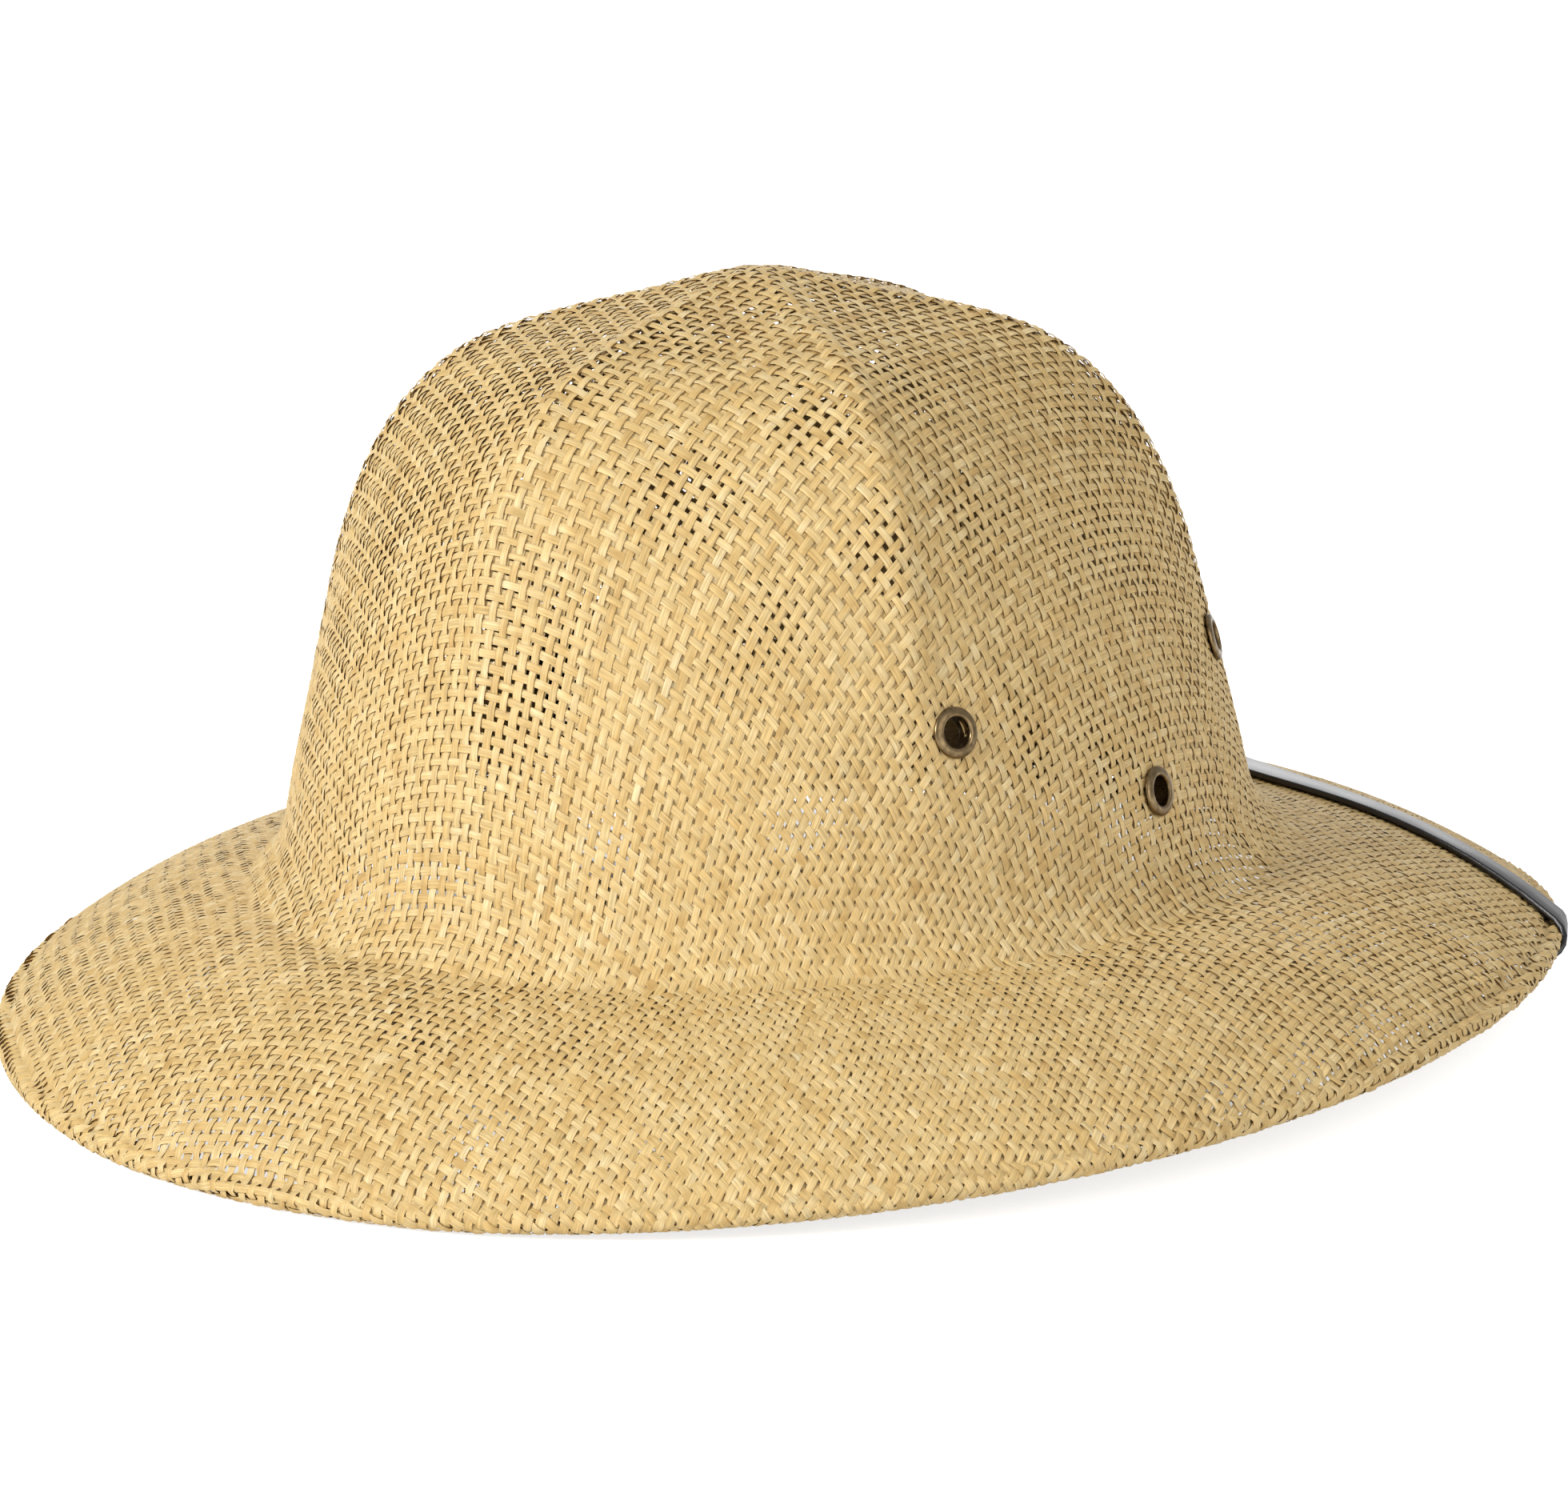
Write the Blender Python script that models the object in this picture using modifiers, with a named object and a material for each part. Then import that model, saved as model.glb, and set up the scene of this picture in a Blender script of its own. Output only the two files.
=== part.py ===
# Pith helmet of woven paper straw: one-piece crown and brim with a rolled edge,
# six brass vent eyelets and a leather chin strap laid over the front brim.
# Metres, +Z up, +X to the front of the hat, the brim's front and back edges rest on Z = 0.
import math

import bmesh
import bpy
import numpy as np
from mathutils import Matrix, Vector

MM = 0.001

# Crown: an oval that narrows upward. The crown sizes are in millimetres.
CROWN_FRONT = 109.1
CROWN_SIDE = 91.6
CROWN_HEIGHT = 110.3
CROWN_LEAN_BACK = 5.9
# Share of the crown height, share of the base radius there.
CROWN_SHARES = (
    (0.00, 1.000), (0.07, 0.940), (0.20, 0.904), (0.40, 0.847), (0.60, 0.783),
    (0.75, 0.697), (0.88, 0.534), (0.96, 0.221), (1.00, 0.000),
)
# Ridge directions in degrees from the front, on each side, and how far the panels
# between them are flattened toward straight chords at each share of the height.
RIDGES = (0.0, 55.0, 123.0, 180.0)
PANEL_STEPS = (10, 12, 10)
PANEL_FLATNESS = ((0.0, 0.05), (0.25, 0.06), (0.45, 0.26), (0.65, 0.52), (0.85, 0.85), (1.0, 1.0))
RIDGE_ROUNDING = 0.045

# Brim: distance of its edge from the crown's centre, and how far the edge hangs down.
BRIM_FRONT = 184.1
BRIM_BACK = 156.7
BRIM_SIDE = 136.5
BRIM_DROP = 26.7
BRIM_SWAY = 3.6
BRIM_SAG = 0.74
REST_FLAT = 0.45
FILLET_UP = 0.45
FILLET_OUT = 0.075
BEAD_RADIUS = 2.4
# Directions round the rolled edge in degrees from straight up.
BEAD_FLAT = 20.0
BEAD_TURNS = (72.0, 100.0, 130.0, 180.0 - BEAD_FLAT, 180.0 + BEAD_FLAT, 232.0, 265.0)
WALL = 1.6
GAP = 0.3

# Eyelets: degrees from the front, height over the brim root. Both sides alike.
EYELETS = (("front", 58.8, 39.2), ("mid", 89.4, 20.6), ("back", 118.9, 38.6))
EYELET_FLANGE = 4.55
EYELET_FLAT = 3.2
EYELET_HOLE = 2.7
EYELET_TUBE = 3.15
EYELET_RIM = 0.45
EYELET_RISE = 0.9
EYELET_CLINCH = 4.1
EYELET_CLINCH_THICK = 0.6
CUTTER_LENGTH = 12.0
EYELET_SIDES = 16

# Chin strap: a flat leather band over the front brim, round both edges and up inside.
STRAP_WIDTH = 11.0
STRAP_THICK = 1.1
STRAP_GAP = 0.4
# Extra room behind the flat band where the wall is hollow across it.
STRAP_HOLLOW = 0.5
STRAP_FRONT_X = 124.9
STRAP_SIDE_X = 102.1
STRAP_BOW_HALF = 64.4
STRAP_BOW_POWER = 2.33
# Degrees from the front where the strap turns round the edge, meets the brim root
# inside, ends on the inside wall, and is held by its stud.
STRAP_EDGE_TURN = 56.4
STRAP_EDGE_DRIFT = 1.8
STRAP_EDGE_END = 205.0
STRAP_ROOT_TURN = 62.0
STRAP_ROOT_DRIFT = 1.4
STRAP_END_TURN = 71.0
STRAP_END_UP = 0.25
STUD_TURN = 69.2
STUD_UP = 0.185
STUD_POST = 1.8
STUD_HEAD = 3.6
STUD_BASE = 4.2
STUD_PLATE = 0.8
STUD_HEAD_THICK = 1.1
STUD_BEVEL = 0.6
STUD_SIDES = 12

HALF_STRAP = STRAP_THICK / 2
STRAP_BACK = WALL + STRAP_GAP + STRAP_HOLLOW
ORIGIN_X = (BRIM_FRONT - BRIM_BACK) / 2
REST_Z = BEAD_RADIUS * (1 - math.cos(math.radians(BEAD_FLAT))) - BRIM_DROP - BRIM_SWAY + REST_FLAT

for old in list(bpy.data.objects):
    bpy.data.objects.remove(old, do_unlink=True)


def spread(first, last, count):
    """Evenly spaced plain numbers from first to last."""
    return [first + (last - first) * index / (count - 1) for index in range(count)]


def smooth_table(table, at, flat_end=False):
    """Monotone cubic through the rows of a table, read at the given value."""
    xs = np.array([row[0] for row in table], float)
    ys = np.array([row[1] for row in table], float)
    steps = np.diff(xs)
    secants = np.diff(ys) / steps
    slopes = np.zeros(len(xs))
    same = secants[:-1] * secants[1:] > 0
    both = secants[:-1] + secants[1:]
    slopes[1:-1][same] = 2 * secants[:-1][same] * secants[1:][same] / both[same]
    slopes[0] = secants[0]
    slopes[-1] = 0.0 if flat_end else secants[-1]
    at = np.clip(np.asarray(at, float), xs[0], xs[-1])
    low = np.clip(np.searchsorted(xs, at, side="right") - 1, 0, len(xs) - 2)
    part = (at - xs[low]) / steps[low]
    rest = 1 - part
    return (
        ys[low] * (1 + 2 * part) * rest**2
        + ys[low + 1] * (3 - 2 * part) * part**2
        + steps[low] * (slopes[low] * part * rest**2 - slopes[low + 1] * rest * part**2)
    )


RISE_TABLE = tuple((index, row[0]) for index, row in enumerate(CROWN_SHARES))
RADIUS_TABLE = tuple((index, row[1]) for index, row in enumerate(CROWN_SHARES))
TOP_STEP = len(CROWN_SHARES) - 1


def panel_share(turn, rise):
    """Radius share left by flattening the panel between two ridges, with soft ridge tips."""
    around = abs((turn + math.pi) % (2 * math.pi) - math.pi)
    lines = [math.radians(line) for line in RIDGES]
    index = min(max(int(np.searchsorted(lines, around, side="right")) - 1, 0), len(lines) - 2)
    half = (lines[index + 1] - lines[index]) / 2
    off_ridge = half - abs(around - (lines[index] + half))
    eased = math.hypot(off_ridge, RIDGE_ROUNDING) - RIDGE_ROUNDING
    chord = math.cos(half) / math.cos(max(half - eased, 0.0))
    flat = float(smooth_table(PANEL_FLATNESS, rise))
    return 1 - flat + flat * chord


def crown_point(turn, step):
    """Outer face of the crown, from the brim root at step 0 to the top at TOP_STEP."""
    rise = float(smooth_table(RISE_TABLE, step, flat_end=True))
    radius = float(smooth_table(RADIUS_TABLE, step)) * panel_share(turn, rise)
    return Vector((
        CROWN_FRONT * radius * math.cos(turn) - CROWN_LEAN_BACK * rise,
        -CROWN_SIDE * radius * math.sin(turn),
        CROWN_HEIGHT * rise,
    ))


def bead_centre(turn):
    """Centre of the rolled edge and the level direction straight out of it."""
    reach = BRIM_FRONT if math.cos(turn) > 0 else BRIM_BACK
    out = Vector((math.cos(turn) / reach, -math.sin(turn) / BRIM_SIDE, 0.0)).normalized()
    low = -BRIM_DROP - BRIM_SWAY * math.cos(2 * turn)
    level = max(low, -BRIM_DROP - BRIM_SWAY + REST_FLAT) + BEAD_RADIUS
    edge = Vector((reach * math.cos(turn), -BRIM_SIDE * math.sin(turn), level))
    return edge - BEAD_RADIUS * out, out


def brim_slope(turn):
    """Angle at which the brim meets its rolled edge."""
    centre, out = bead_centre(turn)
    root = crown_point(turn, 0.0)
    span = math.hypot(centre.x - root.x, centre.y - root.y)
    return math.atan(-centre.z * (1 + BRIM_SAG) / span)


def bead_point(turn, around):
    centre, out = bead_centre(turn)
    return centre + BEAD_RADIUS * (math.sin(around) * out + math.cos(around) * Vector((0, 0, 1)))


def brim_point(turn, share):
    """Outer face of the brim, from its root at share 0 to its rolled edge at share 1."""
    root = crown_point(turn, 0.0)
    rim = bead_point(turn, brim_slope(turn))
    point = root.lerp(rim, share)
    point.z = rim.z * ((1 - BRIM_SAG) * share + BRIM_SAG * share**2)
    return point


def fillet_point(turn, part):
    """Soft corner between crown and brim, from the crown side at 0 to the brim side at 1."""
    above = crown_point(turn, FILLET_UP)
    corner = crown_point(turn, 0.0)
    beside = brim_point(turn, FILLET_OUT)
    return above * (1 - part) ** 2 + corner * (2 * part * (1 - part)) + beside * part**2


def face_normal(surface, turn, place):
    """Outward unit normal of a surface function by small differences."""
    small = 1e-3
    along = surface(turn + small, place) - surface(turn - small, place)
    across = surface(turn, place + small) - surface(turn, place - small)
    normal = along.cross(across).normalized()
    level_out = Vector((math.cos(turn), -math.sin(turn), 1.0))
    return normal if normal.dot(level_out) > 0 else -normal


def to_row(point):
    """Hat sizes in millimetres to the shared frame in metres."""
    return Vector(((point.x - ORIGIN_X) * MM, point.y * MM, (point.z - REST_Z) * MM))


def collection(name):
    made = bpy.data.collections.new(name)
    bpy.context.scene.collection.children.link(made)
    return made


helmet = collection("pith_helmet")
cutters = collection("cutters")
cutters.hide_render = True


def material(name, colour, metallic, roughness):
    made = bpy.data.materials.new(name)
    made.use_nodes = True
    shader = made.node_tree.nodes["Principled BSDF"]
    shader.inputs["Base Color"].default_value = (*colour, 1.0)
    shader.inputs["Metallic"].default_value = metallic
    shader.inputs["Roughness"].default_value = roughness
    return made


def add_object(name, bm, place, slot):
    mesh = bpy.data.meshes.new(name)
    bm.to_mesh(mesh)
    bm.free()
    obj = bpy.data.objects.new(name, mesh)
    place.objects.link(obj)
    if slot is not None:
        mesh.materials.append(slot)
    return obj


def add_modifier(obj, kind, **settings):
    modifier = obj.modifiers.new(kind.title(), kind)
    for key, value in settings.items():
        setattr(modifier, key, value)
    return modifier


def shade_smooth(obj):
    for polygon in obj.data.polygons:
        polygon.use_smooth = True


def aim(obj, at, normal):
    """Puts an object at a point with its +Z along a direction."""
    turned = normal.to_track_quat("Z", "Y").to_matrix().to_4x4()
    obj.matrix_world = Matrix.Translation(at) @ turned


def cutter(name, radius, at, normal):
    bm = bmesh.new()
    bmesh.ops.create_cone(
        bm, cap_ends=True, segments=EYELET_SIDES,
        radius1=radius * MM, radius2=radius * MM, depth=CUTTER_LENGTH * MM,
    )
    obj = add_object(name, bm, cutters, None)
    obj.hide_render = True
    obj.display_type = "WIRE"
    aim(obj, at, normal)
    return obj


def revolved(name, profile, ring, slot, at, normal, sides):
    """A profile of (radius, height) in millimetres turned round +Z; a ring profile closes on itself."""
    bm = bmesh.new()
    points = [bm.verts.new((radius * MM, 0.0, height * MM)) for radius, height in profile]
    for index, point in enumerate(points):
        if index or ring:
            bm.edges.new((point, points[index - 1]))
    obj = add_object(name, bm, helmet, slot)
    add_modifier(
        obj, "SCREW", angle=2 * math.pi, steps=sides, render_steps=sides,
        use_merge_vertices=True, merge_threshold=1e-5, use_normal_calculate=True,
        use_normal_flip=True,
    )
    aim(obj, at, normal)
    return obj


# The crown and brim are one loft: rings of unlike ovals from the top to the rolled edge.
CROWN_STEPS = (7.8, 7.5, 7.1, 6.7, 6.25, 5.8, 5.3, 4.7, 4.1, 3.4, 2.7, 2.0, 1.2)
FILLET_PARTS = (0.0, 0.33, 0.67, 1.0)
BRIM_SHARES = (0.25, 0.5, 0.75, 1.0)


def turns():
    """Directions of the loft's columns, with one on every ridge."""
    one_side = []
    for index, steps in enumerate(PANEL_STEPS):
        start, end = RIDGES[index], RIDGES[index + 1]
        one_side += [start + (end - start) * step / steps for step in range(steps)]
    other_side = [360.0 - turn for turn in one_side[:0:-1]]
    return [math.radians(turn) for turn in one_side + [180.0] + other_side]


def body_rings():
    rings = []
    for step in CROWN_STEPS:
        rings.append([crown_point(turn, step) for turn in turns()])
    for part in FILLET_PARTS:
        rings.append([fillet_point(turn, part) for turn in turns()])
    for share in BRIM_SHARES:
        rings.append([brim_point(turn, share) for turn in turns()])
    for around in BEAD_TURNS:
        rings.append([bead_point(turn, math.radians(around)) for turn in turns()])
    return rings


def make_body(slot):
    bm = bmesh.new()
    rows = [[bm.verts.new(to_row(point)) for point in ring] for ring in body_rings()]
    top = bm.verts.new(to_row(crown_point(0.0, TOP_STEP)))
    count = len(rows[0])
    for index in range(count):
        after = (index + 1) % count
        bm.faces.new((top, rows[0][after], rows[0][index]))
        for upper, lower in zip(rows, rows[1:]):
            bm.faces.new((upper[index], upper[after], lower[after], lower[index]))
    bmesh.ops.recalc_face_normals(bm, faces=bm.faces)
    if top.link_faces[0].normal.z < 0:
        bmesh.ops.reverse_faces(bm, faces=bm.faces)
    obj = add_object("hat_body", bm, helmet, slot)
    shade_smooth(obj)
    add_modifier(obj, "SOLIDIFY", thickness=WALL * MM, offset=-1.0, use_even_offset=True)
    return obj


def step_at_height(height):
    """Crown step whose outer face is this high over the brim root."""
    steps = np.linspace(0.0, TOP_STEP, 1401)
    rises = smooth_table(RISE_TABLE, steps, flat_end=True) * CROWN_HEIGHT
    return float(np.interp(height, rises, steps))


def eyelet_profile():
    """Rolled flange outside, tube through the wall, clinched flange inside."""
    clinch_face = -WALL - 2 * GAP
    clinch_back = clinch_face - EYELET_CLINCH_THICK
    return [
        (EYELET_FLANGE, GAP + EYELET_RIM),
        ((EYELET_FLANGE + EYELET_FLAT) / 2, GAP + EYELET_RISE),
        (EYELET_FLAT, GAP + EYELET_RISE),
        (EYELET_HOLE, GAP),
        (EYELET_HOLE, clinch_face),
        (EYELET_TUBE, clinch_back),
        (EYELET_CLINCH, clinch_back),
        (EYELET_CLINCH, clinch_face),
        (EYELET_TUBE, clinch_face),
        (EYELET_TUBE, GAP),
        (EYELET_FLANGE, GAP),
    ]


def add_eyelets(body, slot):
    for side, sign in (("right", 1), ("left", -1)):
        for name, degrees, height in EYELETS:
            turn = math.radians(sign * degrees)
            step = step_at_height(height)
            normal = face_normal(crown_point, turn, step)
            at = to_row(crown_point(turn, step))
            eyelet = revolved(
                f"eyelet_{side}_{name}", eyelet_profile(), True, slot, at, normal, EYELET_SIDES
            )
            shade_smooth(eyelet)
            hole = cutter(
                f"cut_{side}_{name}", EYELET_TUBE + GAP, at, normal
            )
            add_modifier(body, "BOOLEAN", operation="DIFFERENCE", solver="EXACT", object=hole)


def brim_place(x, y):
    """Turn and share on the brim under a point seen from above, on the wearer's right."""
    low, high = 0.0, math.radians(120)
    for _ in range(50):
        turn = (low + high) / 2
        root = crown_point(turn, 0.0)
        rim = brim_point(turn, 1.0)
        side = (rim.x - root.x) * (y - root.y) - (rim.y - root.y) * (x - root.x)
        low, high = (turn, high) if side < 0 else (low, turn)
    span = (rim.x - root.x) ** 2 + (rim.y - root.y) ** 2
    share = ((x - root.x) * (rim.x - root.x) + (y - root.y) * (rim.y - root.y)) / span
    return turn, share


def strap_over_brim():
    """Middle line of the strap on top of the right half of the brim, with its normals."""
    edge, out = bead_centre(math.radians(STRAP_EDGE_TURN))
    line = []
    for share in spread(0.0, 1.0, 22)[:-1]:
        y = edge.y * share
        bow = math.cos(math.pi / 2 * min(-y / STRAP_BOW_HALF, 1.0)) ** STRAP_BOW_POWER
        x = STRAP_SIDE_X + (STRAP_FRONT_X - STRAP_SIDE_X) * bow
        turn, out_share = brim_place(x, y)
        normal = face_normal(brim_point, turn, out_share)
        line.append((brim_point(turn, out_share) + (STRAP_GAP + HALF_STRAP) * normal, normal, None))
    return line


def strap_round_edge():
    """The strap's turn round the rolled edge, moving back along the edge as it goes."""
    line = []
    start = math.radians(STRAP_EDGE_TURN)
    first = brim_slope(start)
    for part in spread(0.0, 1.0, 8):
        around = first + (math.radians(STRAP_EDGE_END) - first) * part
        turn = start + math.radians(STRAP_EDGE_DRIFT) * part
        centre, out = bead_centre(turn)
        normal = math.sin(around) * out + math.cos(around) * Vector((0, 0, 1))
        along_edge = (bead_centre(turn + 0.01)[0] - centre).normalized()
        line.append((centre + (BEAD_RADIUS + STRAP_GAP + HALF_STRAP) * normal, normal, along_edge))
    return line


def strap_inside():
    """Round the brim root from below and up the inside wall."""
    lift = STRAP_BACK + HALF_STRAP
    start = math.radians(STRAP_ROOT_TURN)
    top_of_root = start + math.radians(STRAP_ROOT_DRIFT)
    line = []
    for part in (0.9, 0.6, 0.3, 0.0):
        turn = top_of_root + (start - top_of_root) * part
        normal = face_normal(fillet_point, turn, part)
        along_root = (fillet_point(turn + 0.01, part) - fillet_point(turn, part)).normalized()
        line.append((fillet_point(turn, part) - lift * normal, -normal, along_root))
    end = step_at_height(STRAP_END_UP * CROWN_HEIGHT)
    plate_lift = lift + STUD_PLATE + GAP
    for part in spread(0.0, 1.0, 9)[1:]:
        turn = top_of_root + (math.radians(STRAP_END_TURN) - top_of_root) * part
        step = FILLET_UP + (end - FILLET_UP) * part
        normal = face_normal(crown_point, turn, step)
        away = lift + (plate_lift - lift) * min(part / 0.5, 1.0)
        line.append((crown_point(turn, step) - away * normal, -normal, None))
    return line


def mirrored(vector):
    return Vector((vector.x, -vector.y, vector.z))


def strap_line():
    """Points, normals and lie of the cross lines along the whole strap, left end to right end."""
    over = strap_over_brim()
    edge = strap_round_edge()
    inside = strap_inside()
    bottom, root = edge[-1], inside[0]
    run = [
        (bottom[0].lerp(root[0], part), bottom[1].lerp(root[1], part).normalized(), None)
        for part in spread(0.0, 1.0, 7)[1:-1]
    ]
    right = over + edge + run + inside
    left = [
        (mirrored(at), mirrored(normal), mirrored(lie) if lie else None)
        for at, normal, lie in right[:0:-1]
    ]
    return left + right


def eased(values, passes):
    """Averages each inner value with its neighbours, so that the band bends evenly."""
    values = [value.copy() for value in values]
    for _ in range(passes):
        inner = [(a + 2 * b + c) / 4 for a, b, c in zip(values, values[1:], values[2:])]
        values = values[:1] + inner + values[-1:]
    return values


def make_strap(slot):
    line = strap_line()
    middle = [at for at, normal, lie in line]
    normals = eased([normal for at, normal, lie in line], 2)
    sides, lies = [], []
    for index, normal in enumerate(normals):
        along = middle[min(index + 1, len(middle) - 1)] - middle[max(index - 1, 0)]
        side = along.cross(normal).normalized()
        lie = line[index][2] or side
        sides.append(side)
        lies.append(lie if lie.dot(side) > 0 else -lie)
    bm = bmesh.new()
    rows = []
    for at, side, lie in zip(middle, sides, eased(lies, 3)):
        across = lie * (STRAP_WIDTH / 2 / lie.dot(side))
        rows.append([bm.verts.new(to_row(at + across * part)) for part in (-1.0, 0.0, 1.0)])
    for near, far in zip(rows, rows[1:]):
        for index in range(2):
            bm.faces.new((near[index], near[index + 1], far[index + 1], far[index]))
    bmesh.ops.recalc_face_normals(bm, faces=bm.faces)
    obj = add_object("chin_strap", bm, helmet, slot)
    shade_smooth(obj)
    add_modifier(obj, "SOLIDIFY", thickness=STRAP_THICK * MM, offset=0.0, use_even_offset=True)
    return obj


def stud_profile():
    """Plate by the wall, post through the strap's hole, head on the strap."""
    plate = -WALL - GAP
    strap_face = -STRAP_BACK - STUD_PLATE - GAP - STRAP_THICK - GAP
    return [
        (0.0, plate),
        (STUD_BASE, plate),
        (STUD_BASE, plate - STUD_PLATE),
        (STUD_POST, plate - STUD_PLATE),
        (STUD_POST, strap_face),
        (STUD_HEAD, strap_face),
        (STUD_HEAD - STUD_BEVEL, strap_face - STUD_HEAD_THICK),
        (0.0, strap_face - STUD_HEAD_THICK),
    ]


def add_studs(strap, slot):
    for side, sign in (("right", 1), ("left", -1)):
        turn = math.radians(sign * STUD_TURN)
        step = step_at_height(STUD_UP * CROWN_HEIGHT)
        normal = face_normal(crown_point, turn, step)
        at = to_row(crown_point(turn, step))
        revolved(f"strap_stud_{side}", stud_profile(), False, slot, at, normal, STUD_SIDES)
        hole = cutter(f"cut_stud_{side}", STUD_POST + GAP, at, normal)
        add_modifier(strap, "BOOLEAN", operation="DIFFERENCE", solver="EXACT", object=hole)


straw = material("woven_straw", (0.62, 0.45, 0.22), 0.0, 0.75)
brass = material("antique_brass", (0.22, 0.16, 0.09), 1.0, 0.35)
leather = material("black_leather", (0.012, 0.012, 0.013), 0.0, 0.3)
steel = material("black_stud", (0.03, 0.03, 0.03), 0.6, 0.4)

hat_body = make_body(straw)
add_eyelets(hat_body, brass)
chin_strap = make_strap(leather)
add_studs(chin_strap, steel)
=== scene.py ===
import math

import bpy
import numpy as np
from mathutils import Matrix, Quaternion, Vector


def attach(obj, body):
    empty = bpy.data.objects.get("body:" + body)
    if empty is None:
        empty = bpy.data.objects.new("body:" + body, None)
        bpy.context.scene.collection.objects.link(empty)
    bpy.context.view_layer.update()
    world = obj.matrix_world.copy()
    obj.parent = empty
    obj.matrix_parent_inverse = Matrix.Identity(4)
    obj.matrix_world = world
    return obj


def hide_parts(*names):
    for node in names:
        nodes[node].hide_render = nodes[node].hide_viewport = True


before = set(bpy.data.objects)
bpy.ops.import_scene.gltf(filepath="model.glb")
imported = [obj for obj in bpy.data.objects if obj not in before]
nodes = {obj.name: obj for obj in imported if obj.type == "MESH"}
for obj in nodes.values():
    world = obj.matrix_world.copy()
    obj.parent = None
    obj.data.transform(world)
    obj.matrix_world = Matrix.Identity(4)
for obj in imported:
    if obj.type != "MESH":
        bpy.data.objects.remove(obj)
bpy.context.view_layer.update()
scene = bpy.context.scene

# The hat's sizes as in the part's source, in millimetres and degrees. Points are measured
# from the crown's centre at the brim root until to_row moves them.
MM = 0.001
CROWN_FRONT, CROWN_SIDE, CROWN_HEIGHT, CROWN_LEAN_BACK = 109.1, 91.6, 110.3, 5.9
CROWN_SHARES = (
    (0.00, 1.000), (0.07, 0.940), (0.20, 0.904), (0.40, 0.847), (0.60, 0.783),
    (0.75, 0.697), (0.88, 0.534), (0.96, 0.221), (1.00, 0.000),
)
RIDGES = (0.0, 55.0, 123.0, 180.0)
PANEL_FLATNESS = (
    (0.0, 0.05), (0.25, 0.06), (0.45, 0.26), (0.65, 0.52), (0.85, 0.85), (1.0, 1.0),
)
RIDGE_ROUNDING = 0.045
BRIM_FRONT, BRIM_BACK, BRIM_SIDE = 184.1, 156.7, 136.5
BRIM_DROP, BRIM_SWAY, BRIM_SAG, REST_FLAT = 26.7, 3.6, 0.74, 0.45
FILLET_UP, FILLET_OUT = 0.45, 0.075
BEAD_RADIUS, BEAD_FLAT, BEAD_END = 2.4, 20.0, 265.0
EYELETS = (("front", 58.8, 39.2), ("mid", 89.4, 20.6), ("back", 118.9, 38.6))
ORIGIN_X = (BRIM_FRONT - BRIM_BACK) / 2
REST_Z = BEAD_RADIUS * (1 - math.cos(math.radians(BEAD_FLAT))) - BRIM_DROP - BRIM_SWAY + REST_FLAT
RISE_TABLE = tuple((index, row[0]) for index, row in enumerate(CROWN_SHARES))
RADIUS_TABLE = tuple((index, row[1]) for index, row in enumerate(CROWN_SHARES))
TOP_STEP = len(CROWN_SHARES) - 1
UP = np.array([0.0, 0.0, 1.0])

# Details of the straw that the solid doesn't have, in millimetres unless noted.
# Towards the back the crease is tighter: the share of the solid's fillet that is left there,
# and how that share comes and goes with the cosine of the direction.
CREASE_BACK, CREASE_MIDDLE, CREASE_SLOPE = 0.15, 0.5, 0.9
# Ribs along the ridges: height, half width in radians and the least half width. Then the
# share of the full height at each distance down from the top, in crown heights.
RIB_RISE, RIB_SPREAD, RIB_LEAST = 0.9, 0.045, 2.2
RIB_HEIGHTS = (
    (0.0, 0.0), (0.18, 0.5), (0.4, 1.0), (0.9, 1.0), (1.15, 0.5), (1.4, 0.0), (3.0, 0.0),
)
# The rolled hem stands a little proud, behind a shallow groove: height or depth, distance
# past the rim and half width.
HEM_GROOVE, HEM_GROOVE_AT, HEM_GROOVE_SPREAD = 0.85, -1.4, 1.35
HEM_RISE, HEM_RISE_AT, HEM_RISE_SPREAD = 0.55, 2.0, 1.9
# Under this height over the brim root the strips are wider by this factor.
BRIM_HEIGHT, BRIM_WIDTH = 3.0, 1.07

# The hat's face as a map: directions round the top, distance between readings down each,
# and how far the map runs on past the rim, straight for the net and round the roll.
TURNS = 360
CELL = 0.5
BEYOND, ROLLED = 70.0, 10.5
# Step of the crown's table at which the map's rows change from the top to the sides, the
# number of rows on each stretch, and the least distance from the top that slopes are read at.
SHOULDER_STEP = 6.5
TOP_ROWS, SIDE_ROWS, FILLET_ROWS, BRIM_ROWS, FLAT_ROWS, ROLL_ROWS = 60, 90, 14, 60, 30, 60
NEAR_TOP = 0.3

# The woven cloth: distance between strips, then how often the net is halved from coarse to
# fine, the rounds of pressing on each level, and how far the cloth and the net's grid
# reach past the rim.
PITCH = 2.32
NET_LEVELS = 3
NET_ROUNDS = (900, 450, 200, 70)
NET_MARGIN, NET_SPARE = 36.0, 4
# Least and greatest length of a cell's side and least length of its diagonal, in pitches.
SIDE_LEAST, SIDE_MOST, DIAGONAL_LEAST = 0.97, 1.025, 0.66
# How strongly sides return to the pitch, how strongly kinks are eased, how far a round
# goes beyond the mean of its pushes, and the greatest step of a round in pitches.
FIRM, EASE, REACH, STEP_MOST = 0.5, 0.06, 1.6, 0.4
# Least area between a place's two slopes, so that no push is divided by almost nothing.
SLOPE_AREA_LEAST = 0.02


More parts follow.
